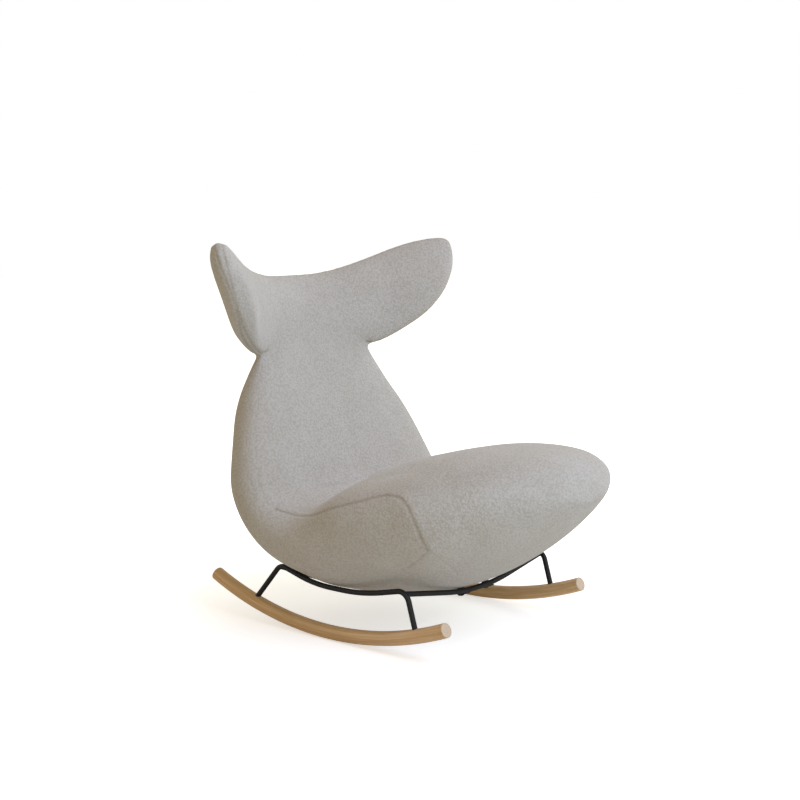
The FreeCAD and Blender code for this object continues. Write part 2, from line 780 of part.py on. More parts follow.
def head_outline(x, inset):
    """A section of the headrest as a function of its turn angle."""
    low, top = wing_heights(x)
    trim = min(inset, (top - low) / 4)
    thin = math.sqrt(1 - (abs(x) / size("wing_half_span")) ** TIP_THINNING)
    half_depth = max(size("head_depth") / 2 * thin, fill_inset + THIN_EDGE) - inset
    half_height = (top - low) / 2 - trim

    def outline(turn):
        height = (low + top) / 2 + half_height * powered(math.cos(turn), HEAD_CORNER)
        return on_head(x, height, half_depth * powered(math.sin(turn), HEAD_CORNER))
    return outline


def head_form(inset):
    """The headrest's form, smaller all round by an inset and cut off flat above the neck."""
    span = size("wing_half_span") - inset
    places = [-step * span for step in reversed(WING_STEPS[1:])] + [step * span for step in WING_STEPS]
    form = loft([loop(head_outline(x, inset)) for x in places])
    half = size("neck_width") / 2 + size("notch_width") + inset
    below = Part.makeBox(2 * half, size("back_length"), size("back_length"),
                         Vector(-half, -size("back_length") / 2, 0))
    below.Placement = Placement(neck_middle + back_up * (gap + inset),
                                Rotation(X_AXIS, Vector(), back_up * -1, "ZXY"))
    return form.cut(below)


SLAB_STEPS = (-1.2, -0.9, -0.6, -0.3, 0.0, 0.3, 0.6, 0.9, 1.2)


def head_slab(front_depth, rear_depth):
    """All the space between two depths of the headrest, square to its swept middle surface."""
    edges = []
    for depth, way in ((front_depth, 1), (rear_depth, -1)):
        points = []
        for step in SLAB_STEPS[::way]:
            point = on_head(step * size("wing_half_span"), 0.0, depth) - neck_middle
            points.append(neck_middle + point - head_up * point.dot(head_up))
        edges.append(smooth(points))
    for first, second in ((0, 1), (1, 0)):
        edges.append(Part.makeLine(edges[first].Vertexes[-1].Point, edges[second].Vertexes[0].Point))
    ring = Part.Wire([edges[0], edges[2], edges[1], edges[3]])
    reach = size("wing_half_span") + size("wing_sweep")
    slab = Part.Face(ring).extrude(head_up * (2 * reach))
    slab.translate(head_up * -reach)
    return slab


BOARD_STEPS = (-1.0, -0.83, -0.6, -0.3, 0.0, 0.3, 0.6, 0.83, 1.0)


def head_plate(low_depth, high_depth, margin):
    """A slab between two depths that follows the wings' middle surface, a margin inside their edges."""
    wires = []
    for step in BOARD_STEPS:
        x = step * (size("board_reach") - margin)
        low, top = wing_heights(x)
        low = max(low, 0.0) + margin
        top = top - margin
        corners = [on_head(x, low, low_depth), on_head(x, top, low_depth),
                   on_head(x, top, high_depth), on_head(x, low, high_depth)]
        wires.append(Part.makePolygon(corners + corners[:1]))
    return loft(wires)


board = head_plate(-size("board_thickness"), 0.0, size("board_margin"))
board_cavity = head_plate(-size("board_thickness") - gap, 2 * gap, size("board_margin") - gap)
keep(solid_feature("board_plate", board.cut(screw_ways)), "headrest_board")

half_border = size("border_width") / 2
far = size("wing_sweep") / 2
head_cover = head_form(0.0).cut(head_form(cloth))
head_filling = head_form(fill_inset)
HEAD_LAYERS = {
    "headrest_front_cover": (head_cover, -far, -half_border - gap / 2),
    "headrest_border": (head_cover, -half_border + gap / 2, half_border - gap / 2),
    "headrest_rear_cover": (head_cover, half_border + gap / 2, far),
    "headrest_front_foam": (head_filling, -far, -gap / 2),
    "headrest_rear_foam": (head_filling, gap / 2, far),
}
hollows = [board_cavity] + head_cavities + frame_cavities[:2]
for label, (form, front_depth, rear_depth) in HEAD_LAYERS.items():
    layer = form.common(head_slab(front_depth, rear_depth))
    if form is head_filling:
        layer = layer.cut(hollows)
    keep(solid_feature(label + "_layer", layer), label)

# Seat and back: foam over the frame, and a cover sewn from three panels


ZONE_OVERRUN = 0.4


def back_zone(grow):
    """The space in front of the back's seams: an outline across the back, carried forwards."""
    centres, reaches = [], []
    for step, (point, out, _, width, face_share, corner, *_) in zip(BACK_STEPS, rows):
        level = mix(size("neck_depth"), size("lumbar_depth"), step) * face_share
        centres.append(point + out * (level - size("seam_inner_depth")))
        reaches.append(width * powered(math.cos(math.radians(SEAM_ANGLE)), corner) + grow)
    overrun = (centres[0] - centres[-1]) * ZONE_OVERRUN
    centres = [centres[0] + overrun, *centres, centres[-1] - overrun]
    reaches = [reaches[0], *reaches, reaches[-1]]
    left = [centre + X_AXIS * reach for centre, reach in zip(centres, reaches)]
    right = [centre - X_AXIS * reach for centre, reach in zip(centres, reaches)][::-1]
    outline = Part.Wire([smooth(left), Part.makeLine(left[-1], right[0]),
                         smooth(right), Part.makeLine(right[-1], left[0])])
    return Part.Face(outline).extrude(back_out * -size("body_width"))


def seat_zone(grow):
    """The space above the seat's side seams and in front of where they turn down to the belly."""
    reach = size("body_width")
    seam = [body_outline(row, 0.0)(math.radians(180 + SEAM_ANGLE)) + row[1] * grow
            for row in rows[CREASE_ROW:NOSE_ROW]]
    front_y = grow - size("seam_turn_reach")
    turn = yz(front_y, seam[-1].z - size("seam_turn_drop"))
    end = yz(front_y, 0)
    start = seam[0] + toward_back * size("crease_radius")
    line = [sideways(point, -reach) for point in (start, *seam, turn, end)]
    corners = [line[-1]] + [Vector(-reach, y, z) for y, z in
                            ((front_y, -reach), (-reach, -reach), (-reach, reach), (start.y, reach))]
    outline = Part.Wire([smooth(line)] + Part.makePolygon(corners + line[:1]).Edges)
    return Part.Face(outline).extrude(X_AXIS * (2 * reach))


cover = body_form(0.0).cut(body_form(cloth))
ZONES = {"back_cover": (back_zone, 1), "seat_cover": (seat_zone, -1)}
shell = cover
for label, (zone, way) in ZONES.items():
    panel = cover.common(zone(-gap / 2).common(crease_block(way, gap / 2)))
    keep(solid_feature(label + "_panel", panel), label)
    shell = shell.cut(zone(gap / 2).common(crease_block(way, -gap)))
keep(solid_feature("shell_panel", shell.cut(boss_holes)), "shell_cover")

cavities = frame_cavities + boss_holes
keep(solid_feature("foam_back", back_filling.cut(cavities)), "back_foam")
keep(solid_feature("foam_seat", seat_filling.cut(cavities)), "seat_foam")

# Check every object, then write one file for each sub-part

doc.recompute()
for obj in doc.Objects:
    if "Invalid" in obj.State or "Error" in obj.State:
        raise RuntimeError("failed object: " + obj.Name)
for obj in nodes:
    if obj.Shape.isNull() or not obj.Shape.isValid():
        raise RuntimeError("bad shape: " + obj.Label)

os.makedirs("parts", exist_ok=True)
for obj in nodes:
    obj.Shape.exportStep("parts/%s.step" % obj.Label)
    print("%-24s solids %d  volume %.0f mm3" % (obj.Label, len(obj.Shape.Solids), obj.Shape.Volume))
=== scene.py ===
# %% [markdown]
# # An upholstered rocking chair
# The chair stands on two bent wooden runners. Black steel rods carry a foam seat and back that
# flow into each other, and a headrest with two wings grows out of the neck.
# The solids of all its pieces are already made, so this lesson starts from them: the hard pieces
# keep their shape and get a finish, and the foam gets a soft sewn cover.

import bpy
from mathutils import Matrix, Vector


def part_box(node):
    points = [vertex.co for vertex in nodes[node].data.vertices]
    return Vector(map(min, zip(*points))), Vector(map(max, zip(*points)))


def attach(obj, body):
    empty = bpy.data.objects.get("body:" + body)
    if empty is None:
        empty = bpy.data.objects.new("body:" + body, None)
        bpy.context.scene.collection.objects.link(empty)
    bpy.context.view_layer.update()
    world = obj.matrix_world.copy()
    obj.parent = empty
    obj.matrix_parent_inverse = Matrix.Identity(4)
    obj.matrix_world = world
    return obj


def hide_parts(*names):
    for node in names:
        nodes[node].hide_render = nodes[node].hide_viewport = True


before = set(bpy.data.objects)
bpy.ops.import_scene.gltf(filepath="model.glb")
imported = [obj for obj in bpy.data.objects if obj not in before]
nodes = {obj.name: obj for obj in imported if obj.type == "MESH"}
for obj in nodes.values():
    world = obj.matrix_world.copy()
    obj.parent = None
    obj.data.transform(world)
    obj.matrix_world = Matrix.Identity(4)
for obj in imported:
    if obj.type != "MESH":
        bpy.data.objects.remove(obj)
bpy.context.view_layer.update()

import bpy
import math
from mathutils import Vector
from mathutils.bvhtree import BVHTree
from mathutils.geometry import interpolate_bezier
from mathutils.kdtree import KDTree

# %% [markdown]
# ## The camera
# The photograph was taken from the chair's front right, a little above the seat, with a long lens.
# A long lens keeps the far wing of the headrest nearly as large as the near one. The place and the
# focal length below come from matching the runners' ends and the legs' feet.

# %% Place the camera
camera_data = bpy.data.cameras.new("photo_camera")
camera_data.sensor_width = 36.0
camera_data.lens = 67.14
camera = bpy.data.objects.new("photo_camera", camera_data)
camera.location = (-2.61399, -2.18658, 0.94552)
camera.rotation_euler = (math.radians(82.7), 0.0, math.radians(-50.0))
bpy.context.collection.objects.link(camera)
bpy.context.scene.camera = camera
print("camera at", tuple(camera.location), "lens", camera_data.lens, "mm")

# %% [markdown]
# ## A small helper for materials
# Every finish below is a node tree. One function adds a node, sets its values and links its inputs,
# so a tree reads as a list. Colours are written as on a paint chart, in sRGB hex, and a second
# function turns them into the linear values that the renderer works with.

# %% Helpers for node trees
def linear(hex_colour):
    """An sRGB hex colour as linear RGBA."""
    channels = [int(hex_colour[n:n + 2], 16) / 255 for n in (1, 3, 5)]
    return tuple(c / 12.92 if c <= 0.04045 else ((c + 0.055) / 1.055) ** 2.4 for c in channels) + (1.0,)


def wire(tree, node, values=(), links=()):
    """Set a node's input values and link its inputs, each by input name or number."""
    for key, value in dict(values).items():
        node.inputs[key].default_value = value
    for key, socket in dict(links).items():
        tree.links.new(socket, node.inputs[key])


def add(tree, kind, values=(), links=(), **settings):
    """A new node with its settings, its input values and its links."""
    node = tree.nodes.new(kind)
    for name, value in settings.items():
        setattr(node, name, value)
    wire(tree, node, values, links)
    return node


def new_finish(name):
    """A material's tree, with a shader that feeds its output and the coordinates of its piece."""
    finish = bpy.data.materials.new(name)
    finish.use_nodes = True
    tree = finish.node_tree
    tree.nodes.clear()
    shader = add(tree, "ShaderNodeBsdfPrincipled")
    add(tree, "ShaderNodeOutputMaterial", links={"Surface": shader.outputs["BSDF"]})
    coords = add(tree, "ShaderNodeTexCoord").outputs["Object"]
    return finish, tree, shader, coords


def ramp(tree, factor, stops):
    """A colour ramp with stops of place and hex colour."""
    node = add(tree, "ShaderNodeValToRGB", links={"Fac": factor})
    elements = node.color_ramp.elements
    while len(elements) < len(stops):
        elements.new(0.5)
    for element, (place, colour) in zip(elements, stops):
        element.position = place
        element.color = linear(colour)
    return node.outputs["Color"]


def dress(finish, *names):
    """Give a finish to hard pieces that keep their solid's shape."""
    for name in names:
        nodes[name].data.materials.clear()
        nodes[name].data.materials.append(finish)
    print(finish.name, "on", ", ".join(names))


# %% [markdown]
# ## The floor and the light
# The photograph has a plain white ground, so to the camera the floor glows to pure white about a metre
# away from the chair, and nearer to it keeps a soft shadow. To the chair itself the floor sends a dim
# warm glow, as a wooden floor round the picture would. The world is white where the camera or a
# mirror-like surface looks at it, and as a light it is a warm dim tone, which fills the near side. Three
# large cool lamps stand round the chair's front and left, as windows would, so the lit cloth is a neutral
# grey and the shade is warm.

# %% Floor, world and lamps
FLOOR_SIZE = 30.0
FLOOR_DROP = 0.0005
SHADOW_START = 0.35
SHADOW_END = 0.95
SHADOW_GLOW = 0.58
FILL_STRENGTH = 0.43
AIM = Vector((0.0, 0.0, 0.4))

bpy.ops.object.select_all(action="DESELECT")
bpy.ops.mesh.primitive_plane_add(size=FLOOR_SIZE, location=(0.0, 0.0, -FLOOR_DROP))
floor = bpy.context.object
floor.name = "floor"
floor_finish, tree, shader, coords = new_finish("white_floor")
wire(tree, shader, {"Base Color": linear("#E7E7E7"), "Roughness": 1.0, "Specular IOR Level": 0.0})
rays = add(tree, "ShaderNodeLightPath")
away = add(tree, "ShaderNodeVectorMath", links={0: coords}, operation="LENGTH")
fade = add(tree, "ShaderNodeMapRange",
           {"From Min": SHADOW_START, "From Max": SHADOW_END, "To Min": SHADOW_GLOW, "To Max": 1.0},
           {"Value": away.outputs["Value"]}, interpolation_type="SMOOTHSTEP")
seen_glow = add(tree, "ShaderNodeVectorMath", {0: (1.0, 1.0, 1.0)}, {"Scale": fade.outputs["Result"]},
                operation="SCALE")
glow_colour = add(tree, "ShaderNodeMix", {6: linear("#4F4531")},
                  {0: rays.outputs["Is Camera Ray"], 7: seen_glow.outputs[0]}, data_type="RGBA")
glow = add(tree, "ShaderNodeEmission", {"Strength": 1.0}, {"Color": glow_colour.outputs[2]})
both = add(tree, "ShaderNodeAddShader", links={0: shader.outputs["BSDF"], 1: glow.outputs["Emission"]})
output = next(node for node in tree.nodes if node.type == "OUTPUT_MATERIAL")
wire(tree, output, links={"Surface": both.outputs["Shader"]})
floor.data.materials.append(floor_finish)

world = bpy.data.worlds.new("studio")
bpy.context.scene.world = world
world.use_nodes = True
tree = world.node_tree
tree.nodes.clear()
rays = add(tree, "ShaderNodeLightPath")
direct = add(tree, "ShaderNodeMath", {}, {0: rays.outputs["Is Camera Ray"], 1: rays.outputs["Is Glossy Ray"]},
             operation="MAXIMUM")
seen = add(tree, "ShaderNodeMath", {}, {0: direct.outputs[0], 1: rays.outputs["Is Transmission Ray"]},
           operation="MAXIMUM")
light = add(tree, "ShaderNodeBackground", {"Color": linear("#FFE6B6"), "Strength": FILL_STRENGTH})
white = add(tree, "ShaderNodeBackground", {"Color": linear("#FFFFFF"), "Strength": 1.0})
mixed = add(tree, "ShaderNodeMixShader",
            links={0: seen.outputs[0], 1: light.outputs["Background"], 2: white.outputs["Background"]})
add(tree, "ShaderNodeOutputWorld", links={"Surface": mixed.outputs["Shader"]})


def lamp(name, place, width, power, colour):
    """A large square lamp that looks at the chair's middle."""
    data = bpy.data.lights.new(name, "AREA")
    data.shape = "SQUARE"
    data.size = width
    data.energy = power
    data.color = linear(colour)[:3]
    light_object = bpy.data.objects.new(name, data)
    light_object.location = place
    light_object.rotation_euler = (AIM - Vector(place)).to_track_quat("-Z", "Y").to_euler()
    bpy.context.collection.objects.link(light_object)


lamp("front_lamp", (-0.52, -2.93, 3.08), 2.4, 95.0, "#D4DCFF")
lamp("left_lamp", (3.63, 0.0, 2.09), 2.4, 60.0, "#EAF7FF")
lamp("low_lamp", (-1.01, -3.78, 1.23), 2.2, 21.0, "#BCF3FF")
bpy.context.scene.view_settings.view_transform = "Standard"

# %% [markdown]
# ## Pale ash for the runners
# Each runner is one round bar of ash, steamed, bent to an arc and lacquered matt. Its grain runs
# along the bend, so a straight grain pattern would cut across it. The tree below measures each point
# along the arc instead: the angle round the arc's centre, times its radius, is the length along the
# bar. Growth lines are about 2 mm apart and ten or more times as long. The sawn ends show paler end
# grain, and the tree finds them by their angle.

# %% The runners' ash
ARC_RADIUS = 0.883
ARC_CENTRE_HEIGHT = 0.899
FRONT_END = math.radians(-21.94)
REAR_END = math.radians(23.94)
LINE_WIDTH = 0.0022
LINE_LENGTH = 0.070
BAND_WIDTH = 0.009
BAND_LENGTH = 0.30
PORES_PER_METRE = 900.0


def repeats(*sizes):
    """How often a pattern repeats in a metre along each axis, from its sizes."""
    return tuple(1 / size for size in sizes)


ash, tree, shader, coords = new_finish("matt_lacquered_ash")
split = add(tree, "ShaderNodeSeparateXYZ", links={0: coords})
drop = add(tree, "ShaderNodeMath", {0: ARC_CENTRE_HEIGHT}, {1: split.outputs["Z"]}, operation="SUBTRACT")
angle = add(tree, "ShaderNodeMath", {}, {0: split.outputs["Y"], 1: drop.outputs[0]}, operation="ARCTAN2")
along = add(tree, "ShaderNodeMath", {1: ARC_RADIUS}, {0: angle.outputs[0]}, operation="MULTIPLY")
flat = add(tree, "ShaderNodeCombineXYZ", links={0: split.outputs["Y"], 1: drop.outputs[0]})
radius = add(tree, "ShaderNodeVectorMath", links={0: flat.outputs[0]}, operation="LENGTH")
depth = add(tree, "ShaderNodeMath", {1: ARC_RADIUS}, {0: radius.outputs["Value"]}, operation="SUBTRACT")
bar = add(tree, "ShaderNodeCombineXYZ",
          links={0: split.outputs["X"], 1: depth.outputs[0], 2: along.outputs[0]})
lines_at = add(tree, "ShaderNodeVectorMath", {1: repeats(LINE_WIDTH, LINE_WIDTH, LINE_LENGTH)},
               {0: bar.outputs[0]}, operation="MULTIPLY")
lines = add(tree, "ShaderNodeTexNoise", {"Scale": 1.0, "Detail": 4.0, "Roughness": 0.6},
            {"Vector": lines_at.outputs[0]})
# broad bands of early and late wood
bands_at = add(tree, "ShaderNodeVectorMath", {1: repeats(BAND_WIDTH, BAND_WIDTH, BAND_LENGTH)},
               {0: bar.outputs[0]}, operation="MULTIPLY")
bands = add(tree, "ShaderNodeTexNoise", {"Scale": 1.0, "Detail": 2.0, "Distortion": 0.4},
            {"Vector": bands_at.outputs[0]})
half_lines = add(tree, "ShaderNodeMath", {1: 0.5}, {0: lines.outputs["Fac"]}, operation="MULTIPLY")
grain = add(tree, "ShaderNodeMath", {1: 0.5}, {0: bands.outputs["Fac"], 2: half_lines.outputs[0]},
            operation="MULTIPLY_ADD")
side_colour = ramp(tree, grain.outputs[0],
                   [(0.30, "#B08C62"), (0.48, "#CCA879"), (0.62, "#DDBC92"), (0.8, "#E4C9A5")])
pores = add(tree, "ShaderNodeTexNoise", {"Scale": PORES_PER_METRE, "Detail": 2.0}, {"Vector": coords})
end_colour = ramp(tree, pores.outputs["Fac"], [(0.3, "#BFA78C"), (0.5, "#D3BFA7"), (0.7, "#DBCBB7")])
front_face = add(tree, "ShaderNodeMath", {1: FRONT_END}, {0: angle.outputs[0]}, operation="LESS_THAN")
rear_face = add(tree, "ShaderNodeMath", {1: REAR_END}, {0: angle.outputs[0]}, operation="GREATER_THAN")
end_face = add(tree, "ShaderNodeMath", {}, {0: front_face.outputs[0], 1: rear_face.outputs[0]},
               operation="MAXIMUM")
colour = add(tree, "ShaderNodeMix", {}, {"Factor": end_face.outputs[0], 6: side_colour, 7: end_colour},
             data_type="RGBA")
rough = add(tree, "ShaderNodeMapRange", {"To Min": 0.62, "To Max": 0.46}, {"Value": grain.outputs[0]})
bump = add(tree, "ShaderNodeBump", {"Strength": 0.25, "Distance": 0.0004}, {"Height": lines.outputs["Fac"]})
wire(tree, shader, {"Specular IOR Level": 0.4},
     {"Base Color": colour.outputs[2], "Roughness": rough.outputs["Result"],
      "Normal": bump.outputs["Normal"]})
dress(ash, "runner_left", "runner_right")

# %% [markdown]
# ## Black powder coat for the rods
# The rods are steel bar, bent and powder coated. Powder melts into a satin skin with a faint orange
# peel, about 1.5 mm from bump to bump. Black paint is never fully black: a very dark warm grey keeps
# the soft highlight along each bend.

# %% The rods' powder coat
PEEL = 0.0015
DUST = 0.06

powder, tree, shader, coords = new_finish("satin_black_powder_coat")
peel = add(tree, "ShaderNodeTexNoise", {"Scale": 1 / PEEL, "Detail": 2.0}, {"Vector": coords})
dust = add(tree, "ShaderNodeTexNoise", {"Scale": 1 / DUST, "Detail": 3.0}, {"Vector": coords})
black = ramp(tree, dust.outputs["Fac"], [(0.3, "#0B0B0B"), (0.7, "#121211")])
rough = add(tree, "ShaderNodeMapRange", {"To Min": 0.48, "To Max": 0.60}, {"Value": peel.outputs["Fac"]})
bump = add(tree, "ShaderNodeBump", {"Strength": 0.2, "Distance": 0.0003}, {"Height": peel.outputs["Fac"]})
wire(tree, shader, {"Specular IOR Level": 0.3},
     {"Base Color": black, "Roughness": rough.outputs["Result"], "Normal": bump.outputs["Normal"]})
dress(powder, "side_rod_left", "side_rod_right", "front_cross_rod", "rear_cross_rod", "mount_tabs")

# %% [markdown]
# ## Zinc, primer, webbing and plywood
# These finishes sit under the seat or inside the foam. The screws are zinc plated, with fine crystal
# spots, and the bolts under the seat are passivated black. The frame's tubes have a dull primer. The
# webbing is woven from rubber and polyester, so it shows ribs 3 mm apart, and the headrest's board is raw
# birch plywood.

# %% Zinc of the screws and bolts
CRYSTAL = 0.002

zinc, tree, shader, coords = new_finish("zinc_plated_steel")
spots = add(tree, "ShaderNodeTexVoronoi", {"Scale": 1 / CRYSTAL}, {"Vector": coords}).outputs["Distance"]
bright = ramp(tree, spots, [(0.1, "#B9BCBE"), (0.8, "#8F9395")])
rough = add(tree, "ShaderNodeMapRange", {"To Min": 0.28, "To Max": 0.45}, {"Value": spots})
wire(tree, shader, {"Metallic": 1.0}, {"Base Color": bright, "Roughness": rough.outputs["Result"]})
dress(zinc, "runner_screws", "headrest_screws")

dark_zinc, tree, shader, coords = new_finish("black_zinc_steel")
spots = add(tree, "ShaderNodeTexVoronoi", {"Scale": 1 / CRYSTAL}, {"Vector": coords}).outputs["Distance"]
dark = ramp(tree, spots, [(0.1, "#3A3A3C"), (0.8, "#29292B")])
wire(tree, shader, {"Metallic": 1.0, "Roughness": 0.45}, {"Base Color": dark})
dress(dark_zinc, "mount_bolts", "mount_washers")

# %% Primer, webbing and plywood
MIST = 0.004
RIB = 0.003
WAVE_BANDS = 20
VENEER_LENGTH = 0.12
VENEER_WIDTH = 0.006

primer, tree, shader, coords = new_finish("grey_primer_on_steel")
mist = add(tree, "ShaderNodeTexNoise", {"Scale": 1 / MIST, "Detail": 3.0}, {"Vector": coords})
grey = ramp(tree, mist.outputs["Fac"], [(0.35, "#3A3B3D"), (0.65, "#4A4B4D")])
wire(tree, shader, {"Roughness": 0.75}, {"Base Color": grey})
dress(primer, "frame_tube_left", "frame_tube_right", "seat_front_tube", "seat_middle_tube", "seat_rear_tube",
      "neck_tube", "lumbar_tube", "mount_bosses")

elastic, tree, shader, coords = new_finish("woven_elastic_webbing")
ribs = add(tree, "ShaderNodeTexWave", {"Scale": 1 / RIB / WAVE_BANDS, "Distortion": 0.3}, {"Vector": coords})
brown = ramp(tree, ribs.outputs["Fac"], [(0.2, "#2A2624"), (0.8, "#4B4642")])
wire(tree, shader, {"Roughness": 0.85}, {"Base Color": brown})
dress(elastic, "seat_webbing", "back_webbing")

birch, tree, shader, coords = new_finish("raw_birch_plywood")
veneer_at = add(tree, "ShaderNodeVectorMath", {1: repeats(VENEER_LENGTH, VENEER_WIDTH, VENEER_WIDTH)},
                {0: coords}, operation="MULTIPLY")
veneer = add(tree, "ShaderNodeTexNoise", {"Scale": 1.0, "Detail": 3.0}, {"Vector": veneer_at.outputs[0]})
blond = ramp(tree, veneer.outputs["Fac"], [(0.3, "#C9AD82"), (0.7, "#E0C79E")])
wire(tree, shader, {"Roughness": 0.7}, {"Base Color": blond})
dress(birch, "headrest_board")

# %% [markdown]
# ## Ease the foam's shape
# Foam doesn't keep the exact form it was cut to. Under its cover the belly sags onto the side rails and
# the shoulders narrow, the headrest's lower edge rolls down over them, the rear of each wing pulls
# straight and its front edge fills out. Small smooth moves are worked out here for any point, so that
# panels which touch move alike. Each pair of numbers bounds the stretch over which a move fades in or out.

# %% Moves of the foam
RAIL_X = 0.250
SAG = 0.0095
SAG_ACROSS = 0.06
SAG_ALONG = 0.085
BELLY_Z = (0.15, 0.22)
NARROWED = 0.30
SHOULDER_Z = (0.598, 0.655)
ROLL = 0.016
ROLL_X = 0.17
ROLL_ACROSS = 0.07
LOWER_EDGE_Z = (0.64, 0.72)
EASE = 0.008
EASE_X = (0.22, 0.34)
EASE_LOWEST_Z = 0.66
EASE_TURN_Z = 0.80
EASE_REACH = 0.07
FULL = 0.016
FULL_X = (0.22, 0.32)
FULL_Z = (0.78, 0.84)
PULL_IN = 0.643
PULL_FORWARD = 0.766
BODY_NODES = ["seat_foam", "back_foam", "seat_cover", "back_cover", "shell_cover"]
FRONT_NODES = ["headrest_front_foam", "headrest_front_cover"]
REAR_NODES = ["headrest_rear_foam", "headrest_rear_cover"]
SOFT_NODES = BODY_NODES + FRONT_NODES + REAR_NODES + ["headrest_border"]


def fall(value, middle, width):
    """A bell curve: 1 at its middle, fading over its width."""
    return math.exp(-((value - middle) / width) ** 2)


def step(value, low, high):
    """A smooth step from 0 at low to 1 at high."""
    share = min(1.0, max(0.0, (value - low) / (high - low)))
    return share * share * (3 - 2 * share)


def sagged(place):
    """A point of seat or back after the belly has sagged onto the rails and the shoulders have narrowed."""
    under = 1 - step(place.z, *BELLY_Z)
    down = SAG * under * fall(abs(place.x), RAIL_X, SAG_ACROSS) * fall(place.y, 0.0, SAG_ALONG)
    return Vector((place.x * (1 - NARROWED * step(place.z, *SHOULDER_Z)), place.y, place.z - down))


def rolled(place, rear, front):
    """A point of the headrest after its edges have eased; rear and front say how much it follows each."""
    low = 1 - step(place.z, *LOWER_EDGE_Z)
    down = ROLL * low * fall(abs(place.x), ROLL_X, ROLL_ACROSS)
    turn = math.sin(math.pi / 2 * (EASE_TURN_Z - max(EASE_LOWEST_Z, place.z)) / EASE_REACH)
    pull = EASE * rear * turn * step(abs(place.x), *EASE_X)
    pull += FULL * front * step(abs(place.x), *FULL_X) * (1 - step(place.z, *FULL_Z))
    return place + Vector((-math.copysign(PULL_IN, place.x) * pull, -PULL_FORWARD * pull, -down))


print("foam moves up to", 1000 * max(SAG, ROLL, EASE, FULL), "mm")

# %% [markdown]
# ## The rough form of the upholstery
# On the real chair one moulded foam body carries a cover that is sewn from a few large panels and
# pulled tight, so seat, back and headrest read as one skin. The solids hold the foam and the panels
# as separate pieces. Copies of them are eased and joined, the holes for the frame's bosses are plugged,
# and a voxel remesh wraps the whole in one closed skin of even squares, which cloth needs.

# %% Join and remesh the soft solids
VOXEL = 0.0065
FRONT_EDGE = 0.025
BOSS_RADIUS = 0.008
RING_RADIUS = 0.013
PLUG_RADIUS = 0.0095
PLUG_DEPTH = 0.03


def tree_of(mesh):
    """A search tree over a mesh."""
    return BVHTree.FromPolygons([v.co for v in mesh.vertices], [p.vertices for p in mesh.polygons])


shell_tree = tree_of(nodes["shell_cover"].data)
border_tree = tree_of(nodes["headrest_border"].data)
front_tree = tree_of(nodes["headrest_front_cover"].data)
rear_tree = tree_of(nodes["headrest_rear_cover"].data)
bpy.ops.object.select_all(action="DESELECT")
parts = []
for name in SOFT_NODES:
    part = bpy.data.objects.new("soft_part", nodes[name].data.copy())
    bpy.context.collection.objects.link(part)
    parts.append(part)
    for vertex in part.data.vertices:
        if name in BODY_NODES:
            vertex.co = sagged(vertex.co)
        elif name == "headrest_border":
            ahead, behind = front_tree.find_nearest(vertex.co)[3], rear_tree.find_nearest(vertex.co)[3]
            vertex.co = rolled(vertex.co, ahead / (ahead + behind), 0.0)
        elif name in REAR_NODES:
            vertex.co = rolled(vertex.co, 1.0, 0.0)
        else:
            inside = step(border_tree.find_nearest(vertex.co)[3], 0.0, FRONT_EDGE)
            vertex.co = rolled(vertex.co, 0.0, inside)

# a plug in each boss's hole, at the height of the cover round it
boss_low, boss_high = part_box("mount_bosses")
for x in (boss_low[0] + BOSS_RADIUS, boss_high[0] - BOSS_RADIUS):
    for y in (boss_low[1] + BOSS_RADIUS, boss_high[1] - BOSS_RADIUS):
        heights = []
        for degrees in range(0, 360, 45):
            turn = math.radians(degrees)
            spot = Vector((x + RING_RADIUS * math.cos(turn), y + RING_RADIUS * math.sin(turn), 0.0))
            heights.append(shell_tree.ray_cast(spot, Vector((0.0, 0.0, 1.0)))[0].z)
        middle = sum(heights) / len(heights) + PLUG_DEPTH / 2
        bpy.ops.mesh.primitive_cylinder_add(vertices=16, radius=PLUG_RADIUS, depth=PLUG_DEPTH,
                                            location=(x, y, middle))
        parts.append(bpy.context.object)

bpy.ops.object.select_all(action="DESELECT")
for part in parts:
    part.select_set(True)
bpy.context.view_layer.objects.active = parts[0]
bpy.ops.object.join()
upholstery = bpy.context.object
upholstery.name = "upholstery"
upholstery.data.name = "upholstery"
upholstery.data.materials.clear()
bpy.ops.object.transform_apply(location=True, rotation=True, scale=True)
wrap = upholstery.modifiers.new("wrap", "REMESH")
wrap.mode = "VOXEL"
wrap.voxel_size = VOXEL
bpy.ops.object.modifier_apply(modifier="wrap")
print("wrapped form:", len(upholstery.data.vertices), "points")

# %% [markdown]
# ## Smooth the skin, most of all at the neck
# A remesh leaves small steps, so the whole skin is smoothed a little. At the neck the front of the back
# runs up into the headrest without any seam, and there a vertex group lets the same modifier work much
# longer. The group fades out towards the notches at the neck's sides, which stay crisp.

# %% Smooth the skin
NECK_HALF = 0.15
NECK_FLARE = 0.04
NECK_INNER = 0.03
NECK_OUTER = 0.01
FLARE_Z = (0.62, 0.66)
NECK_START_Z = (0.54, 0.59)
NECK_END_Z = (0.74, 0.80)
FACING_FRONT = (0.1, 0.4)


def smooth_skin(name, iterations, group=""):
    """Smooth the whole skin, or only a vertex group of it."""
    relax = upholstery.modifiers.new(name, "SMOOTH")
    relax.factor = 0.5
    relax.iterations = iterations
    relax.vertex_group = group
    bpy.ops.object.modifier_apply(modifier=name)


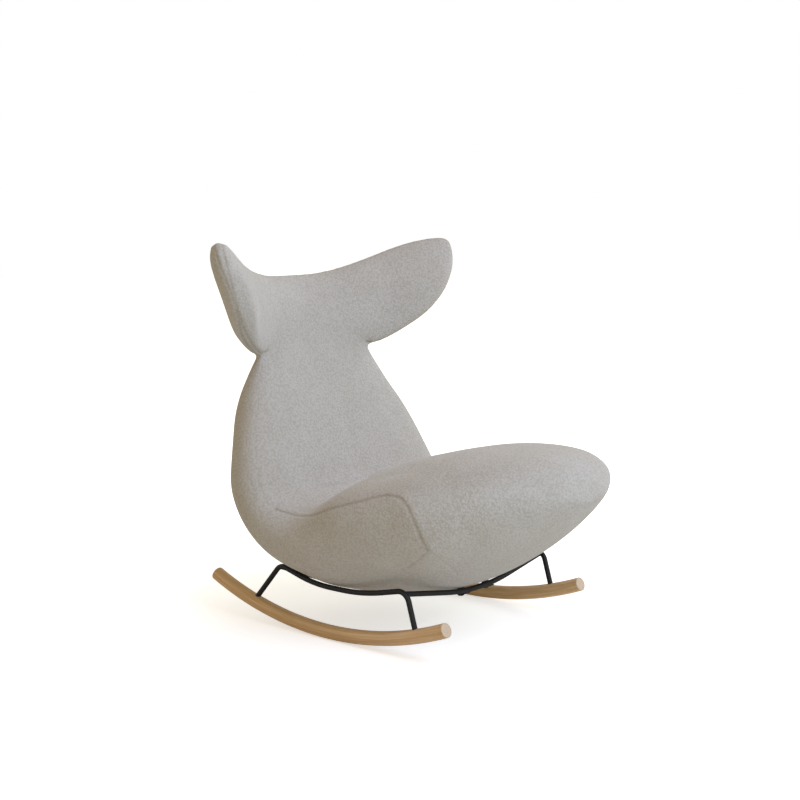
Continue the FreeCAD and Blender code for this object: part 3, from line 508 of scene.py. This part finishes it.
neck = upholstery.vertex_groups.new(name="neck")
for vertex in upholstery.data.vertices:
    place = vertex.co
    half = NECK_HALF + NECK_FLARE * step(place.z, *FLARE_Z)
    weight = (1 - step(abs(place.x), half - NECK_INNER, half + NECK_OUTER)) * step(place.z, *NECK_START_Z)
    weight *= (1 - step(place.z, *NECK_END_Z)) * step(-vertex.normal.y, *FACING_FRONT)
    if weight > 0:
        neck.add([vertex.index], weight, "REPLACE")
smooth_skin("relax", 3)
smooth_skin("relax_neck", 40, "neck")
print("neck:", sum(1 for v in upholstery.data.vertices if v.groups), "points smoothed more")

# %% [markdown]
# ## Fill out the seat's edge
# The seat's foam is fullest along its side seam: the panel below it is flat, and the nose in front of it
# turns away quickly. The seam was measured on the photograph. A smooth line through its places is laid
# on the skin, and the skin rises to a soft ridge along that line, with flanks of 90 mm.

# %% Raise the seat's edge
SEAT_SEAM = [(-0.298, 0.119, 0.287), (-0.283, 0.065, 0.278), (-0.310, -0.010, 0.291),
             (-0.311, -0.059, 0.305), (-0.302, -0.137, 0.329), (-0.289, -0.195, 0.347),
             (-0.287, -0.234, 0.350), (-0.291, -0.259, 0.339), (-0.291, -0.278, 0.312),
             (-0.281, -0.288, 0.280), (-0.264, -0.291, 0.249)]
RIDGE = 0.012
FLANK = 0.090
RIDGE_Y = (-0.09, 0.02)
STEP = 0.002


def smooth_line(places):
    """Points on smooth lines through measured places, on both sides of the chair, laid on the skin."""
    skin = tree_of(upholstery.data)
    line = []
    for side in (1, -1):
        row = [Vector((side * x, y, z)) for x, y, z in places]
        row = [2 * row[0] - row[1]] + row + [2 * row[-1] - row[-2]]
        for before, start, end, after in zip(row, row[1:], row[2:], row[3:]):
            count = math.ceil((end - start).length / STEP)
            leave = start + (end - before) / 6
            arrive = end - (after - start) / 6
            line += interpolate_bezier(start, leave, arrive, end, count + 1)
    return [skin.find_nearest(point)[0] for point in line]


def finder_of(points):
    """A search tree over points."""
    finder = KDTree(len(points))
    for index, point in enumerate(points):
        finder.insert(point, index)
    finder.balance()
    return finder


ridge_finder = finder_of(smooth_line(SEAT_SEAM))
normals = [v.normal.copy() for v in upholstery.data.vertices]
for vertex, normal in zip(upholstery.data.vertices, normals):
    spot, _, distance = ridge_finder.find(vertex.co)
    if distance < FLANK:
        vertex.co += normal * RIDGE * (1 - distance / FLANK) * (1 - step(spot.y, *RIDGE_Y))
smooth_skin("relax_ridge", 2)
print("ridge of", 1000 * RIDGE, "mm along the seat's seam")

# %% [markdown]
# ## Where the seams run
# On the headrest a seam is where two panels of the solids meet: an edge of one panel whose two ends both
# lie on the other panel is a piece of seam. The seams of seat and back were measured instead: the seat's
# own, the one down the back's side, and two short ones that part below the seat seam's lowest place.
# Points every 2 mm feed a search tree, which tells how far any point of the skin is from its nearest seam.

# %% Find the seams
BORDERS = {"border_front": ("headrest_border", "headrest_front_cover", 0.0),
           "border_rear": ("headrest_border", "headrest_rear_cover", 1.0)}
MEASURED = {
    "seat_seam": SEAT_SEAM,
    "back_seam": [(-0.193, 0.261, 0.588), (-0.232, 0.235, 0.512), (-0.274, 0.201, 0.428),
                  (-0.301, 0.166, 0.345), (-0.303, 0.136, 0.297), SEAT_SEAM[0]],
    "rear_dart": [SEAT_SEAM[-1], (-0.262, -0.270, 0.230), (-0.258, -0.247, 0.211),
                  (-0.254, -0.228, 0.197)],
    "front_dart": [SEAT_SEAM[-1], (-0.254, -0.298, 0.244), (-0.218, -0.302, 0.214),
                   (-0.191, -0.297, 0.193), (-0.159, -0.288, 0.173)],
}
TOUCH = 0.0009


def seam_points(panel, neighbour):
    """Points along the edges of one panel that lie against another."""
    other = tree_of(nodes[neighbour].data)
    mesh = nodes[panel].data
    near = [other.find_nearest(v.co, TOUCH)[0] is not None for v in mesh.vertices]
    points = []
    for edge in mesh.edges:
        start, end = edge.vertices
        if near[start] and near[end]:
            first, second = mesh.vertices[start].co, mesh.vertices[end].co
            count = max(1, math.ceil((second - first).length / STEP))
            points += [first.lerp(second, n / count) for n in range(count + 1)]
    return points


seams = {seam: [rolled(point, rear, 0.0) for point in seam_points(panel, neighbour)]
         for seam, (panel, neighbour, rear) in BORDERS.items()}
seams |= {seam: smooth_line(places) for seam, places in MEASURED.items()}
seam_names = [seam for seam, points in seams.items() for _ in points]
seam_finder = finder_of([point for points in seams.values() for point in points])
print("seam points:", {seam: len(points) for seam, points in seams.items()})

# %% [markdown]
# ## Pull the cover tight with cloth
# Foam pushes a sewn cover outwards between its seams. The skin first shrinks a little, then the cloth
# simulation blows it up again with the seams pinned, so each panel crowns and each seam sinks. How far
# a point may move is capped: a few millimetres outwards, and hardly at all inwards, where the foam is.

# %% Swell the cover
SHRINK = 0.0015
MOVE_CAP = 0.0030
FOAM_GIVE = 0.0003
PIN_REACH = 0.006
CLOTH_FRAMES = 20

mesh = upholstery.data
normals = [v.normal.copy() for v in mesh.vertices]
for vertex, normal in zip(mesh.vertices, normals):
    vertex.co -= normal * SHRINK
pins = upholstery.vertex_groups.new(name="seams")
for vertex in mesh.vertices:
    if seam_finder.find(vertex.co)[2] < PIN_REACH + SHRINK:
        pins.add([vertex.index], 1.0, "REPLACE")

start = [v.co.copy() for v in mesh.vertices]
cloth = upholstery.modifiers.new("cover", "CLOTH")
cloth.settings.quality = 3
cloth.settings.mass = 0.3
cloth.settings.tension_stiffness = 20.0
cloth.settings.compression_stiffness = 20.0
cloth.settings.shear_stiffness = 8.0
cloth.settings.bending_stiffness = 2.0
cloth.settings.use_pressure = True
cloth.settings.uniform_pressure_force = 4.0
cloth.settings.vertex_group_mass = "seams"
cloth.settings.effector_weights.gravity = 0.0
for number in range(1, CLOTH_FRAMES + 1):
    bpy.context.scene.frame_set(number)
bpy.ops.object.modifier_apply(modifier="cover")
bpy.context.scene.frame_set(1)

moves = []
for vertex, place, normal in zip(upholstery.data.vertices, start, normals):
    move = vertex.co - place
    moves.append(move.dot(normal))
    limit = MOVE_CAP if moves[-1] > 0 else FOAM_GIVE
    if move.length > limit:
        vertex.co = place + move * (limit / move.length)
print("cloth moved outwards by %.1f to %.1f mm, on average %.1f mm" %
      (min(moves) * 1000, max(moves) * 1000, sum(moves) / len(moves) * 1000))

# %% [markdown]
# ## Finer skin and sewn grooves
# One level of subdivision rounds the squares. Then each point near a seam sinks along its normal, in
# a soft groove a few millimetres wide. The depth is kept on the mesh as an attribute too, so that the
# cloth's colour can darken in the seam, as painted shade in the groove.

# %% Subdivide and sink the seams
# depth and width of each groove
GROOVES = {"seat_seam": (0.0014, 0.0044), "back_seam": (0.0005, 0.0050), "rear_dart": (0.0009, 0.0046),
           "front_dart": (0.0007, 0.0046), "border_front": (0.0012, 0.0036), "border_rear": (0.0012, 0.0036)}
DEEPEST = max(deep for deep, wide in GROOVES.values())
# how far a groove reaches and where the cover puffs up beside it, in groove widths
GROOVE_REACH = 4
PUFF_PLACE = 2.4
PUFF = 0.3

finer = upholstery.modifiers.new("finer", "SUBSURF")
finer.levels = 1
finer.render_levels = 1
bpy.ops.object.modifier_apply(modifier="finer")
mesh = upholstery.data
normals = [v.normal.copy() for v in mesh.vertices]
# the seam attribute drives the painted shade along the grooves
seam_shade_marks = mesh.attributes.new("seam", "FLOAT", "POINT")
depths = [0.0] * len(mesh.vertices)
for vertex, normal in zip(mesh.vertices, normals):
    _, index, distance = seam_finder.find(vertex.co)
    deep, wide = GROOVES[seam_names[index]]
    if distance < GROOVE_REACH * wide:
        share = fall(distance, 0.0, wide)
        depths[vertex.index] = share * deep / DEEPEST
        puff = PUFF * fall(distance, PUFF_PLACE * wide, wide)
        vertex.co -= normal * (deep * (share - puff))
seam_shade_marks.data.foreach_set("value", depths)
mesh.polygons.foreach_set("use_smooth", [True] * len(mesh.polygons))
mesh.update()
print("finished cover:", len(mesh.polygons), "faces")

# %% [markdown]
# ## Fine boucle cloth
# Boucle is woven from looped yarn, so its face is a carpet of small curls, here about 5 mm across.
# The curls catch light on top and hold shade between them. Cells of a Voronoi pattern, pushed about by
# noise, give the curls their height, and the same height darkens the colour in the hollows between the
# curls, as painted shade. The cloth has no gloss, but its loose fibres give a little sheen at grazing light.

# %% The cover's boucle
CURL = 0.0050
SWAY_SIZE = 0.006
SWAY = 0.003
FIBRE = 0.0016
CLOUD = 0.09

boucle, tree, shader, coords = new_finish("greige_boucle")
sway = add(tree, "ShaderNodeTexNoise", {"Scale": 1 / SWAY_SIZE, "Detail": 2.0}, {"Vector": coords})
offset = add(tree, "ShaderNodeVectorMath", {1: (SWAY, SWAY, SWAY)}, {0: sway.outputs["Color"]},
             operation="MULTIPLY")
swayed = add(tree, "ShaderNodeVectorMath", {}, {0: coords, 1: offset.outputs[0]}, operation="ADD")
curls = add(tree, "ShaderNodeTexVoronoi", {"Scale": 1 / CURL, "Smoothness": 0.35, "Randomness": 1.0},
            {"Vector": swayed.outputs[0]}, feature="SMOOTH_F1")
fibre = add(tree, "ShaderNodeTexNoise", {"Scale": 1 / FIBRE, "Detail": 3.0, "Roughness": 0.65},
            {"Vector": coords})
dome = add(tree, "ShaderNodeMapRange", {"From Min": 0.05, "From Max": 0.75, "To Min": 1.0, "To Max": 0.0},
           {"Value": curls.outputs["Distance"]})
height = add(tree, "ShaderNodeMath", {1: 0.45}, {0: fibre.outputs["Fac"], 2: dome.outputs["Result"]},
             operation="MULTIPLY_ADD")
# painted shade: the yarn's colour darkens where the curls are low, in the hollows between them
yarn_with_painted_shade = ramp(tree, height.outputs[0], [(0.2, "#B3B1AB"), (0.7, "#BFBDB8"), (1.0, "#C5C3BF")])
cloud = add(tree, "ShaderNodeTexNoise", {"Scale": 1 / CLOUD, "Detail": 2.0}, {"Vector": coords})
cloudy = ramp(tree, cloud.outputs["Fac"], [(0.3, "#F8F7F5"), (0.7, "#FFFFFF")])
toned = add(tree, "ShaderNodeMix", {"Factor": 1.0}, {6: yarn_with_painted_shade, 7: cloudy}, data_type="RGBA",
            blend_type="MULTIPLY")
# painted shade: the cloth's colour darkens along the seams' grooves
seam_shade_mask = add(tree, "ShaderNodeAttribute", attribute_name="seam")
shade = ramp(tree, seam_shade_mask.outputs["Fac"], [(0.2, "#FFFFFF"), (1.0, "#D8D1C6")])
seam_shaded = add(tree, "ShaderNodeMix", {"Factor": 1.0}, {6: toned.outputs[2], 7: shade}, data_type="RGBA",
           blend_type="MULTIPLY")
bump = add(tree, "ShaderNodeBump", {"Strength": 0.5, "Distance": 0.0014}, {"Height": height.outputs[0]})
wire(tree, shader,
     {"Roughness": 0.95, "Specular IOR Level": 0.15, "Sheen Weight": 0.25, "Sheen Roughness": 0.6},
     {"Base Color": seam_shaded.outputs[2], "Normal": bump.outputs["Normal"]})
upholstery.data.materials.append(boucle)

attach(upholstery, "root")
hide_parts(*SOFT_NODES)
print("cover dressed in", boucle.name)
